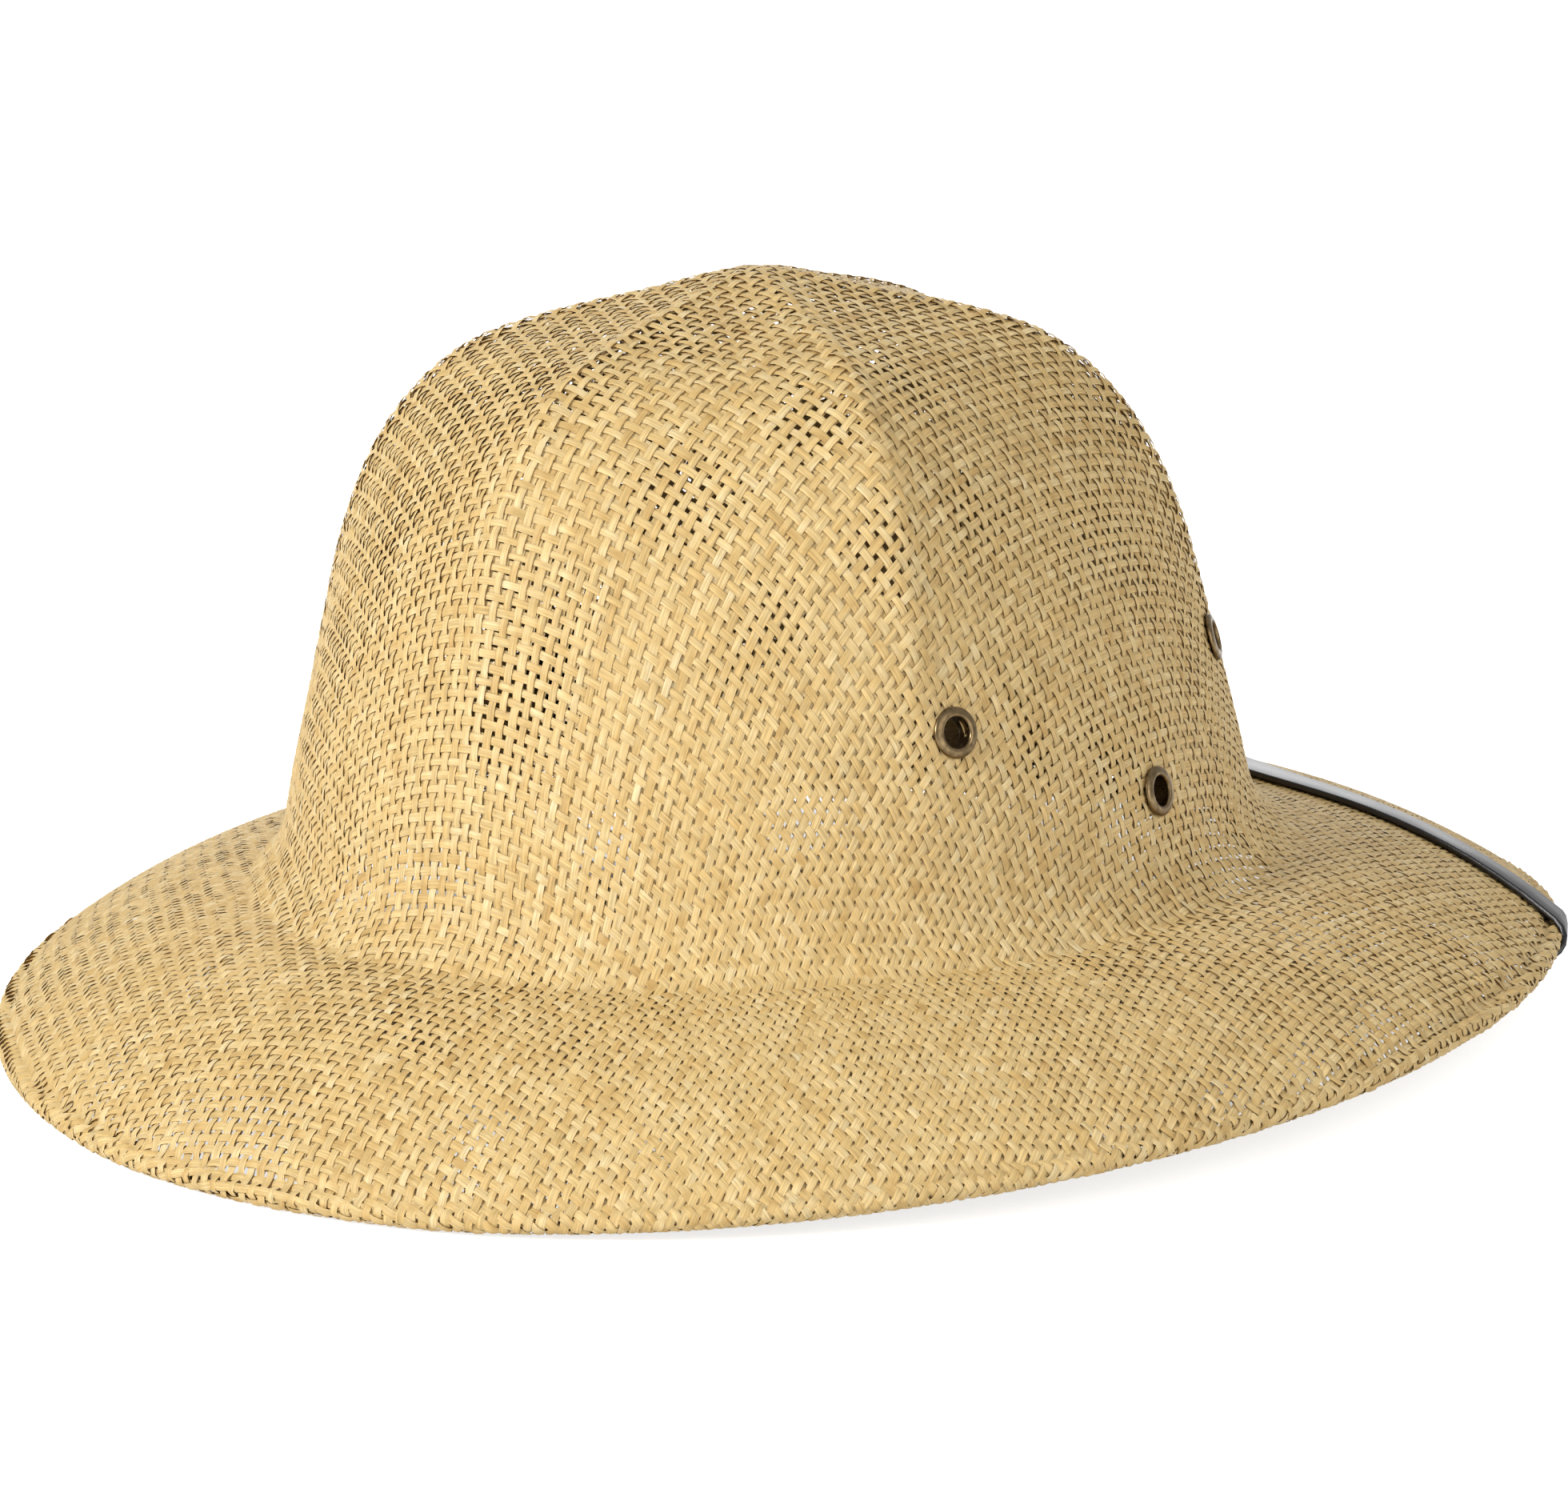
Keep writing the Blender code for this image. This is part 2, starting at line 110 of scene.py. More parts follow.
def smooth_table(table, at, flat_end=False):
    """Monotone cubic through the rows of a table, read at the given values."""
    xs = np.array([row[0] for row in table], float)
    ys = np.array([row[1] for row in table], float)
    steps = np.diff(xs)
    secants = np.diff(ys) / steps
    slopes = np.zeros(len(xs))
    same = secants[:-1] * secants[1:] > 0
    both = secants[:-1] + secants[1:]
    slopes[1:-1][same] = 2 * secants[:-1][same] * secants[1:][same] / both[same]
    slopes[0] = secants[0]
    slopes[-1] = 0.0 if flat_end else secants[-1]
    at = np.clip(np.asarray(at, float), xs[0], xs[-1])
    low = np.clip(np.searchsorted(xs, at, side="right") - 1, 0, len(xs) - 2)
    part = (at - xs[low]) / steps[low]
    rest = 1 - part
    return (
        ys[low] * (1 + 2 * part) * rest**2
        + ys[low + 1] * (3 - 2 * part) * part**2
        + steps[low] * (slopes[low] * part * rest**2 - slopes[low + 1] * rest * part**2)
    )


def panel_share(turn, rise):
    """Radius share left by the flattened panel between two ridges."""
    around = np.abs((turn + math.pi) % (2 * math.pi) - math.pi)
    lines = np.radians(RIDGES)
    index = np.clip(np.searchsorted(lines, around, side="right") - 1, 0, len(lines) - 2)
    half = (lines[index + 1] - lines[index]) / 2
    off_ridge = half - np.abs(around - (lines[index] + half))
    eased = np.hypot(off_ridge, RIDGE_ROUNDING) - RIDGE_ROUNDING
    chord = np.cos(half) / np.cos(np.maximum(half - eased, 0.0))
    flat = smooth_table(PANEL_FLATNESS, rise)
    return 1 - flat + flat * chord


def crown_point(turn, step):
    """Points on the crown's face in a direction, at steps down the table of shares."""
    rise = smooth_table(RISE_TABLE, step, flat_end=True)
    radius = smooth_table(RADIUS_TABLE, step) * panel_share(turn, rise)
    return np.stack([
        CROWN_FRONT * radius * np.cos(turn) - CROWN_LEAN_BACK * rise,
        -CROWN_SIDE * radius * np.sin(turn),
        CROWN_HEIGHT * rise + 0 * turn,
    ], -1)


def bead_centre(turn):
    """Centre of the rolled edge's section in a direction, and the way out from there."""
    reach = np.where(np.cos(turn) > 0, BRIM_FRONT, BRIM_BACK)
    out = np.stack([np.cos(turn) / reach, -np.sin(turn) / BRIM_SIDE, 0 * turn], -1)
    out /= np.linalg.norm(out, axis=-1, keepdims=True)
    low = -BRIM_DROP - BRIM_SWAY * np.cos(2 * turn)
    level = np.maximum(low, -BRIM_DROP - BRIM_SWAY + REST_FLAT) + BEAD_RADIUS
    edge = np.stack([reach * np.cos(turn), -BRIM_SIDE * np.sin(turn), level], -1)
    return edge - BEAD_RADIUS * out, out


def brim_slope(turn):
    """How steeply the brim runs down where it meets the rolled edge, in radians."""
    centre, out = bead_centre(turn)
    root = crown_point(turn, 0 * turn)
    span = np.hypot(centre[..., 0] - root[..., 0], centre[..., 1] - root[..., 1])
    return np.arctan(-centre[..., 2] * (1 + BRIM_SAG) / span)


def bead_point(turn, around):
    centre, out = bead_centre(turn)
    return centre + BEAD_RADIUS * (np.sin(around)[..., None] * out + np.cos(around)[..., None] * UP)


def brim_point(turn, share):
    root = crown_point(turn, 0 * turn)
    rim = bead_point(turn, brim_slope(turn))
    point = root + (rim - root) * share[..., None]
    point[..., 2] = rim[..., 2] * ((1 - BRIM_SAG) * share + BRIM_SAG * share**2)
    return point


def crease_share(turn):
    """How much of the solid's fillet the straw keeps at a turn."""
    behind = np.clip(CREASE_MIDDLE - CREASE_SLOPE * np.cos(turn), 0, 1)
    return 1 + (CREASE_BACK - 1) * behind * behind * (3 - 2 * behind)


def fillet_point(turn, part):
    above = crown_point(turn, FILLET_UP * crease_share(turn))
    corner = crown_point(turn, 0 * turn)
    beside = brim_point(turn, FILLET_OUT * crease_share(turn))
    part = part[..., None]
    return above * (1 - part) ** 2 + corner * (2 * part * (1 - part)) + beside * part**2


def to_row(points):
    """Points in metres in the shared frame."""
    return (points - np.array([ORIGIN_X, 0.0, REST_Z])) * MM


def evened(rows, length):
    """Every column of points, taken again at even distances along itself, with its slopes."""
    gaps = np.linalg.norm(np.diff(rows, axis=0), axis=2)
    along = np.concatenate([np.zeros((1, rows.shape[1])), np.cumsum(gaps, 0)])
    at = np.arange(int(length / CELL) + 1) * CELL
    table = np.empty((rows.shape[1], len(at), 3))
    for column in range(rows.shape[1]):
        for axis in range(3):
            table[column, :, axis] = np.interp(at, along[:, column], rows[:, column, axis])
    down = np.gradient(table, CELL, axis=1)
    around = (np.roll(table, -1, 0) - np.roll(table, 1, 0)) / (4 * math.pi / TURNS)
    return np.concatenate([table, down, around], -1).astype(np.float32), along[-1]


class HatSurface:
    """The hat's outer face as a flat map: direction from the top and distance walked down it."""

    def __init__(self):
        turn = np.arange(TURNS) * 2 * math.pi / TURNS
        ring = np.ones(TURNS)
        steps = np.linspace(TOP_STEP, SHOULDER_STEP, TOP_ROWS)[:-1]
        rows = [crown_point(turn, step * ring) for step in steps]
        up, out = FILLET_UP * crease_share(turn), FILLET_OUT * crease_share(turn)
        side = up - SHOULDER_STEP
        parts = np.linspace(0, 1, SIDE_ROWS)
        rows += [crown_point(turn, SHOULDER_STEP + side * part) for part in parts]
        parts = np.linspace(0, 1, FILLET_ROWS)[1:]
        rows += [fillet_point(turn, part * ring) for part in parts]
        parts = np.linspace(0, 1, BRIM_ROWS)[1:]
        rows += [brim_point(turn, out + (1 - out) * part) for part in parts]
        shell = np.array(rows)
        slope = brim_slope(turn)
        away = bead_centre(turn)[1]
        ahead = np.cos(slope)[:, None] * away - np.sin(slope)[:, None] * UP
        flat = [shell[-1] + ahead * reach for reach in np.linspace(0, BEYOND, FLAT_ROWS)[1:]]
        roll = math.radians(BEAD_END) - slope
        parts = np.linspace(0, 1, ROLL_ROWS)[1:]
        bead = [bead_point(turn, slope + roll * part) for part in parts]
        self.rim = np.linalg.norm(np.diff(shell, axis=0), axis=2).sum(0)
        self.straight, _ = evened(np.concatenate([shell, flat]), self.rim.min() + BEYOND - 1)
        self.rolled, self.end = evened(np.concatenate([shell, bead]), self.rim.max() + ROLLED)

    def read(self, table, a, b):
        """Bilinear reading of a table at flat places (a, b)."""
        turn = np.arctan2(b, a) % (2 * math.pi) * TURNS / (2 * math.pi)
        down = np.clip(np.hypot(a, b) / CELL, 0, table.shape[1] - 1.001)
        column, row = np.floor(turn).astype(int), np.floor(down).astype(int)
        across = (turn - column)[..., None].astype(np.float32)
        along = (down - row)[..., None].astype(np.float32)
        wide = table.shape[1]
        near, far = (column % TURNS) * wide + row, ((column + 1) % TURNS) * wide + row
        flat = table.reshape(-1, table.shape[2])
        above = flat[near] * (1 - across) + flat[far] * across
        below = flat[near + 1] * (1 - across) + flat[far + 1] * across
        return above * (1 - along) + below * along

    def with_slopes(self, a, b):
        """Points, and how they move with a and with b."""
        got = self.read(self.straight, a, b)
        reach = np.maximum(np.hypot(a, b), NEAR_TOP)[..., None]
        cos, sin = a[..., None] / reach, b[..., None] / reach
        down, around = got[..., 3:6], got[..., 6:9] / reach
        return got[..., :3], down * cos - around * sin, down * sin + around * cos

    def with_normals(self, a, b):
        """Points and outward normals, on round the rolled edge."""
        got = self.read(self.rolled, a, b)
        normal = np.cross(got[..., 6:9], got[..., 3:6])
        size = np.linalg.norm(normal, axis=-1, keepdims=True)
        return got[..., :3], np.where(size > 1e-3, normal / np.maximum(size, 1e-3), UP)

    def edge_distance(self, values, a, b):
        """A per-direction distance, such as to the rim, at flat places."""
        turn = np.arctan2(b, a) % (2 * math.pi) * TURNS / (2 * math.pi)
        return np.interp(turn, np.arange(TURNS + 1), np.append(values, values[0]))


def shifted(shape, di, dj):
    """Slices that pair each node of a grid with its neighbour (di, dj) on."""
    here = (slice(0, shape[0] - di), slice(max(0, -dj), shape[1] - max(0, dj)))
    there = (slice(di, shape[0]), slice(max(0, dj), shape[1] + min(0, dj)))
    return here, there


def press(surface, a, b, live, pitch, rounds):
    """Lets a flat woven cloth settle on the hat: strips keep their length and the cells shear."""
    shortest, longest, tightest = SIDE_LEAST * pitch, SIDE_MOST * pitch, DIAGONAL_LEAST * pitch
    limit = STEP_MOST * pitch
    for _ in range(rounds):
        p, slope_a, slope_b = surface.with_slopes(a, b)
        push = np.zeros_like(p)
        weight = np.full(a.shape, 1e-6, np.float32)
        for di, dj in ((1, 0), (0, 1), (1, 1), (1, -1)):
            here, there = shifted(a.shape, di, dj)
            used = live[here] & live[there]
            gap = p[there] - p[here]
            size = np.sqrt((gap * gap).sum(-1)) + 1e-6
            if di and dj:
                target = np.maximum(size, tightest)
                used = used & (size < tightest)
            else:
                target = np.clip(size, shortest, longest)
                target = target + FIRM * (pitch - target)
            used = used.astype(np.float32)
            move = gap * ((1 - target / size) * 0.5 * used)[..., None]
            push[here] += move
            push[there] -= move
            weight[here] += used
            weight[there] += used
        push *= REACH / weight[..., None]
        for di, dj in ((2, 0), (0, 2)):
            here, there = shifted(a.shape, di, dj)
            middle = slice(di // 2, a.shape[0] - di // 2), slice(dj // 2, a.shape[1] - dj // 2)
            used = live[middle] & live[here] & live[there]
            push[middle] += (0.5 * (p[here] + p[there]) - p[middle]) * (used * EASE)[..., None]
        aa, bb, ab = (slope_a**2).sum(-1), (slope_b**2).sum(-1), (slope_a * slope_b).sum(-1)
        pa, pb = (slope_a * push).sum(-1), (slope_b * push).sum(-1)
        area = np.maximum(aa * bb - ab * ab, SLOPE_AREA_LEAST)
        a = a + np.where(live, np.clip((bb * pa - ab * pb) / area, -limit, limit), 0)
        b = b + np.where(live, np.clip((aa * pb - ab * pa) / area, -limit, limit), 0)
    return a, b


def halved(grid):
    """A grid with a new node halfway between each two."""
    fine = np.zeros((2 * grid.shape[0] - 1, 2 * grid.shape[1] - 1), grid.dtype)
    fine[::2, ::2] = grid
    if grid.dtype == bool:
        fine[1::2, ::2] = grid[1:] & grid[:-1]
        fine[:, 1::2] = fine[:, 2::2] & fine[:, :-2:2]
    else:
        fine[1::2, ::2] = (grid[1:] + grid[:-1]) / 2
        fine[:, 1::2] = (fine[:, 2::2] + fine[:, :-2:2]) / 2
    return fine


def pressed_net(surface):
    """Flat places of all the weave's crossings, found on a coarse net first and then finer."""
    coarse = PITCH * 2**NET_LEVELS
    count = math.ceil((surface.rim.max() + NET_MARGIN + NET_SPARE) / coarse)
    numbers = np.arange(-count, count + 1)
    i, j = np.meshgrid(numbers, numbers, indexing="ij")
    a, b = i * coarse, j * coarse
    live = np.hypot(a, b) < surface.edge_distance(surface.rim, a, b) + NET_MARGIN
    for level, rounds in zip(range(NET_LEVELS, -1, -1), NET_ROUNDS):
        a, b = press(surface, a, b, live, PITCH * 2**level, rounds)
        if level:
            a, b, live = halved(a), halved(b), halved(live)
    return a, b, live


class Net:
    """The pressed cloth, read at any place between its crossings."""

    def __init__(self, surface):
        self.surface = surface
        self.a, self.b, self.live = pressed_net(surface)
        self.half = self.a.shape[0] // 2

    def places(self, i, j):
        """Flat places at fractional crossing numbers, and where they are on the cloth."""
        x = np.clip(i + self.half, 0, 2 * self.half - 1e-6)
        y = np.clip(j + self.half, 0, 2 * self.half - 1e-6)
        x0, y0 = np.floor(x).astype(int), np.floor(y).astype(int)
        fx, fy = x - x0, y - y0
        good = self.live[x0, y0] & self.live[x0 + 1, y0] & self.live[x0, y0 + 1]
        good &= self.live[x0 + 1, y0 + 1]
        read = [
            grid[x0, y0] * (1 - fx) * (1 - fy) + grid[x0 + 1, y0] * fx * (1 - fy)
            + grid[x0, y0 + 1] * (1 - fx) * fy + grid[x0 + 1, y0 + 1] * fx * fy
            for grid in (self.a, self.b)
        ]
        return read[0], read[1], good


def step_at_height(height):
    """Step of the crown's table at a height over the brim root."""
    steps = np.linspace(0.0, TOP_STEP, 1401)
    rises = smooth_table(RISE_TABLE, steps, flat_end=True) * CROWN_HEIGHT
    return float(np.interp(height, rises, steps))


def eyelet_seat(sign, degrees, height):
    """Centre on the crown's outer face and outward normal, in the hat's millimetres."""
    turn = np.array([math.radians(sign * degrees)])
    step = np.array([step_at_height(height)])
    small = 1e-3
    along = crown_point(turn + small, step) - crown_point(turn - small, step)
    across = crown_point(turn, step + small) - crown_point(turn, step - small)
    normal = np.cross(along, across)[0]
    normal /= np.linalg.norm(normal)
    if normal @ np.array([math.cos(turn[0]), -math.sin(turn[0]), 1.0]) < 0:
        normal = -normal
    return crown_point(turn, step)[0], normal


SEATS = {
    f"eyelet_{side}_{name}": eyelet_seat(sign, degrees, height)
    for side, sign in (("right", 1), ("left", -1))
    for name, degrees, height in EYELETS
}

# The two layers: depth of the middle under the outer face, rise and fall at a crossing, strip
# height and width, places of the rings round a crossing and which way the strips bulge. Then
# how the layer's net is turned, spread, moved and waved against the pressed one.
LAYERS = {
    "outer": dict(deep=0.28, wave=0.155, thick=0.16, width=1.46, rings=(-0.28, 0.28), bulge=1,
                  turned=0.0, spread=1.0, moved=(0.0, 0.0), loose=0.0, seed=3),
    "inner": dict(deep=0.64, wave=0.10, thick=0.12, width=1.42, rings=(0.0,), bulge=-1,
                  turned=3.6, spread=1.03, moved=(0.35, 0.45), loose=0.3, seed=8),
}
# Rates and starts, in radians, of the waves that a loose layer has each way.
LOOSE_RATES, LOOSE_STARTS = (0.11, 0.13), (0.9, 2.1)
# Strips end at this distance from the middle of an eyelet.
HOLE_CUT = 3.05
# Strips differ: sideways drift, range of widths and drift of the width, greatest share of
# the room between neighbours, range of the rise at a crossing and sideways tilt in radians.
DRIFT, WIDTH_RANGE, WIDTH_DRIFT, ROOM_SHARE = 0.035, (0.82, 1.11), 0.05, 0.98
RISE_RANGE, TILT = (0.85, 1.1), 0.10
# Tone from dark 0 to light 1: middle, spread and drift from strip to strip, and spread
# from crossing to crossing. Then the greatest start of the paper's pattern along a strip.
TONE_MIDDLE, TONE_SPREAD, TONE_DRIFT, TONE_GRAIN = 0.5, 0.08, 0.10, 0.07
PATTERN_START = 400
# Waves that make up a drift: how many, the range of their rates in radians a crossing, and
# what their sum is divided by.
WAVES, WAVE_RATES, WAVE_SUM = 3, (0.05, 0.9), 1.7


def wander(rng, strips, places, size):
    """A slow change along each strip, different for each, about as large as size."""
    phase = rng.uniform(0, 2 * math.pi, (WAVES, strips, 1))
    rate = rng.uniform(*WAVE_RATES, (WAVES, strips, 1))
    waves = sum(np.sin(rate[k] * places[None, :] + phase[k]) for k in range(WAVES))
    return size * waves / WAVE_SUM


def bell(offset, spread):
    return np.exp(-(offset / spread) ** 2)


def hem_relief(surface, a, b):
    """Height that sets off the rolled hem from the brim, by distance from the rim."""
    past = np.hypot(a, b) - surface.edge_distance(surface.rim, a, b)
    return (
        HEM_RISE * bell(past - HEM_RISE_AT, HEM_RISE_SPREAD)
        - HEM_GROOVE * bell(past - HEM_GROOVE_AT, HEM_GROOVE_SPREAD)
    )


def rib_relief(a, b):
    """Height of the pressed ribs along the ridges, strongest over the shoulders."""
    around = np.abs(np.arctan2(b, a))
    down = np.hypot(a, b)
    height = smooth_table(RIB_HEIGHTS, down / CROWN_HEIGHT)
    nearest = np.min([np.abs(around - line) for line in np.radians(RIDGES)], axis=0)
    width = np.maximum(RIB_SPREAD, RIB_LEAST / np.maximum(down, 1.0))
    return RIB_RISE * height * bell(nearest, width)


def strips_along(net, layer, family):
    """Rings of three corners for all strips of one family, which of them are in use, and the
    tone and the places along and across the strip that their material reads."""
    rng = np.random.default_rng(layer["seed"] + 10 * family)
    number = np.arange(-net.half, net.half + 1)
    place = (number[:, None] + np.array(layer["rings"])).ravel()
    crossing = np.repeat(number, len(layer["rings"]))
    strips, rings = len(number), len(place)
    along = np.broadcast_to(place, (strips, rings))
    beside = number[:, None] + wander(rng, strips, place, DRIFT)
    turned, loose = math.radians(layer["turned"]), layer["loose"]

    def spots(offset):
        i, j = (along, beside + offset) if family == 0 else (beside + offset, along)
        x = (i * math.cos(turned) - j * math.sin(turned)) * layer["spread"] + layer["moved"][0]
        y = (i * math.sin(turned) + j * math.cos(turned)) * layer["spread"] + layer["moved"][1]
        wave_x = loose * np.sin(LOOSE_RATES[0] * y + LOOSE_STARTS[0])
        wave_y = loose * np.sin(LOOSE_RATES[1] * x + LOOSE_STARTS[1])
        a, b, good = net.places(x + wave_x, y + wave_y)
        good &= np.hypot(a, b) < net.surface.edge_distance(net.surface.end, a, b)
        point, normal = net.surface.with_normals(a, b)
        return point, normal, good, hem_relief(net.surface, a, b) + rib_relief(a, b)

    point, normal, good, relief = spots(0.0)
    aside = spots(0.5)[0] - spots(-0.5)[0]
    tangent = np.empty_like(point)
    tangent[:, 1:-1] = point[:, 2:] - point[:, :-2]
    tangent[:, 0], tangent[:, -1] = tangent[:, 1], tangent[:, -2]
    tangent /= np.maximum(np.linalg.norm(tangent, axis=-1, keepdims=True), 1e-6)
    side = np.cross(tangent, normal)
    side /= np.maximum(np.linalg.norm(side, axis=-1, keepdims=True), 1e-6)
    room = np.abs((aside * side).sum(-1))
    for centre, _ in SEATS.values():
        good &= np.linalg.norm(point - centre, axis=-1) > HOLE_CUT
    width = layer["width"] * rng.uniform(*WIDTH_RANGE, (strips, 1))
    width = width * (1 + wander(rng, strips, place, WIDTH_DRIFT))
    width = width * np.where(point[..., 2] < BRIM_HEIGHT, BRIM_WIDTH, 1.0)
    width = np.minimum(width, ROOM_SHARE * room)
    over = np.where((crossing[None, :] + number[:, None] + family) % 2 == 0, 1.0, -1.0)
    lift = over * layer["wave"] * rng.uniform(*RISE_RANGE, (strips, rings)) - layer["deep"] + relief
    middle = point + normal * lift[..., None]
    tilt = wander(rng, strips, place, TILT)[..., None]
    lean = side * np.cos(tilt) + normal * np.sin(tilt)
    half = (width / 2)[..., None]
    bulge = middle + normal * layer["thick"] * layer["bulge"]
    corners = np.stack([middle - lean * half, bulge, middle + lean * half], 2)
    tone = rng.normal(TONE_MIDDLE, TONE_SPREAD, (strips, 1))
    tone = np.clip(tone + wander(rng, strips, place, TONE_DRIFT), 0, 1)
    tone = np.clip(tone + rng.normal(0, TONE_GRAIN, (strips, rings)), 0, 1)
    tone = np.repeat(tone[..., None], 3, -1)
    length = place * PITCH + rng.uniform(0, PATTERN_START, (strips, 1))
    length = np.broadcast_to(length[..., None], tone.shape)
    breadth = np.stack([-width / 2, 0 * width, width / 2], -1)
    return corners, good, tone, length, breadth


def join_rings(corners, good, bulge):
    """Closed three-sided tubes through the good rings of each strip."""
    strips, rings = good.shape
    linked = good[:, :-1] & good[:, 1:]
    used = np.zeros_like(good)
    used[:, :-1] |= linked
    used[:, 1:] |= linked
    first = (np.arange(strips)[:, None] * rings + np.arange(rings)) * 3
    here, there = first[:, :-1][linked], first[:, 1:][linked]
    quads = np.concatenate([
        np.stack([here + p, here + q, there + q, there + p], 1) for p, q in ((0, 1), (1, 2), (2, 0))
    ])
    before = np.zeros_like(good)
    before[:, 1:] = linked
    after = np.zeros_like(good)
    after[:, :-1] = linked
    start, end = first[used & ~before], first[used & ~after]
    caps = np.concatenate([
        np.stack([start + 2, start + 1, start], 1), np.stack([end, end + 1, end + 2], 1),
    ])
    if bulge < 0:
        quads, caps = quads[:, ::-1], caps[:, ::-1]
    keep = np.repeat(used.ravel(), 3)
    renumber = np.cumsum(keep) - 1
    return renumber[quads], renumber[caps], keep


def straw_piece(name, parts, bulge, material):
    """One mesh of many strips, with sharp edges where a strip's flat underside begins."""
    corners, good, tone, length, breadth = parts
    quads, caps, keep = join_rings(corners, good, bulge)
    points = to_row(corners.reshape(-1, 3))[keep]
    mesh = bpy.data.meshes.new(name)
    mesh.vertices.add(len(points))
    mesh.vertices.foreach_set("co", points.astype(np.float32).ravel())
    loops = np.concatenate([quads.ravel(), caps.ravel()]).astype(np.int32)
    starts = np.concatenate([np.arange(len(quads)) * 4, len(quads) * 4 + np.arange(len(caps)) * 3])
    mesh.loops.add(len(loops))
    mesh.loops.foreach_set("vertex_index", loops)
    mesh.polygons.add(len(starts))
    mesh.polygons.foreach_set("loop_start", starts.astype(np.int32))
    mesh.update(calc_edges=True)
    mesh.polygons.foreach_set("use_smooth", np.ones(len(starts), bool))
    uv = np.stack([length.ravel()[keep], breadth.ravel()[keep]], 1)
    layer = mesh.uv_layers.new(name="strip")
    layer.data.foreach_set("uv", uv[loops].astype(np.float32).ravel())
    shade = mesh.attributes.new("tone", "FLOAT", "POINT")
    shade.data.foreach_set("value", tone.ravel()[keep].astype(np.float32))
    role = np.tile(np.arange(3), corners.shape[0] * corners.shape[1])[keep]
    ends = np.empty(len(mesh.edges) * 2, np.int32)
    mesh.edges.foreach_get("vertices", ends)
    ends = role[ends.reshape(-1, 2)]
    sharp = mesh.attributes.new("sharp_edge", "BOOLEAN", "EDGE")
    sharp.data.foreach_set("value", (ends[:, 0] == ends[:, 1]) & (ends[:, 0] != 1))
    mesh.materials.append(material)
    mesh.validate()
    obj = bpy.data.objects.new(name, mesh)
    scene.collection.objects.link(obj)
    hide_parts("hat_body")
    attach(obj, "root")


def weave_hat(material):
    """Both families of strips in both layers. The finer outer ones are in two pieces each."""
    net = Net(HatSurface())
    for layer_name, layer in LAYERS.items():
        for family, name in enumerate(("lengthwise", "crosswise")):
            parts = strips_along(net, layer, family)
            shares = 2 if layer_name == "outer" else 1
            for share in range(shares):
                chosen = [part[share::shares] for part in parts]
                label = f"straw_{layer_name}_{name}" + (f"_{share + 1}" if shares > 1 else "")
                straw_piece(label, chosen, layer["bulge"], material)


# Looks. Noise scales are per metre on solid pieces, and per millimetre along and across on
# the strips. Colours are stops of a ramp, and other pairs are values at the noise's span.
NOISE_SPAN = (0.3, 0.7)
STREAKS, BLOTCHES, BLOTCH_SHARE = (0.12, 3.2, 1.0), (0.25, 0.5, 1.0), 0.9
STRAW_COLOURS = (
    (0.0, (0.52, 0.325, 0.11)), (0.35, (0.65, 0.45, 0.18)),
    (0.65, (0.72, 0.535, 0.25)), (1.0, (0.80, 0.65, 0.375)),
)
STRAW_GRAIN, STRAW_ROUGH = (0.68, 1.18), (0.62, 0.46)
BRASS_CLOUDS, BRASS_GRAIN, BRASS_ROUGH = 700.0, 2500.0, (0.36, 0.24)
BRASS_COLOURS = ((0.3, (0.13, 0.09, 0.045)), (0.7, (0.29, 0.205, 0.105)))
LEATHER_CLOUDS, LEATHER_PORES, LEATHER_ROUGH = 60.0, 1400.0, (0.24, 0.34)
LEATHER_COLOURS = ((0.3, (0.006, 0.006, 0.008)), (0.7, (0.014, 0.014, 0.018)))
STUD_SPECKS, STUD_ROUGH = 900.0, (0.32, 0.45)
STUD_COLOURS = ((0.4, (0.012, 0.012, 0.013)), (0.75, (0.035, 0.035, 0.036)))
FLOOR_CLOUDS = 3.0
FLOOR_COLOURS = ((0.3, (0.93, 0.93, 0.93)), (0.7, (0.95, 0.95, 0.95)))
# Bumps: strength and height in metres.
STRAW_BUMP, BRASS_BUMP, LEATHER_BUMP = (0.5, 0.00012), (0.15, 0.00005), (0.12, 0.0001)
# The floor's glow: strength, and the distances from the hat's centre in metres between
# which it sets in for the camera and in mirror images.
FLOOR_GLOW, GLOW_FROM, MIRRORED_FROM = 0.75, (0.095, 0.115), (0.3, 0.5)


def add(tree, kind, **settings):
    node = tree.nodes.new(kind)
    for key, value in settings.items():
        setattr(node, key, value)
    return node


def new_material(name):
    material = bpy.data.materials.new(name)
    material.use_nodes = True
    tree = material.node_tree
    return material, tree, tree.nodes["Principled BSDF"]


def mapped(tree, source, scale):
    mapping = add(tree, "ShaderNodeMapping")
    mapping.inputs["Scale"].default_value = scale
    tree.links.new(source, mapping.inputs["Vector"])
    return mapping.outputs["Vector"]


def noise(tree, vector, scale, detail=2.0, rough=0.5):
    node = add(tree, "ShaderNodeTexNoise")
    node.inputs["Scale"].default_value = scale
    node.inputs["Detail"].default_value = detail
    node.inputs["Roughness"].default_value = rough
    tree.links.new(vector, node.inputs["Vector"])
    return node.outputs["Fac"]


def ranged(tree, value, span, to_span):
    node = add(tree, "ShaderNodeMapRange")
    for key, number in zip(("From Min", "From Max", "To Min", "To Max"), (*span, *to_span)):
        node.inputs[key].default_value = number
    tree.links.new(value, node.inputs["Value"])
    return node.outputs["Result"]


def maths(tree, operation, first, second=None):
    node = add(tree, "ShaderNodeMath", operation=operation)
    for socket, value in zip(node.inputs, (first, second)):
        if value is None:
            continue
        if isinstance(value, (int, float)):
            socket.default_value = value
        else:
            tree.links.new(value, socket)
    return node.outputs["Value"]


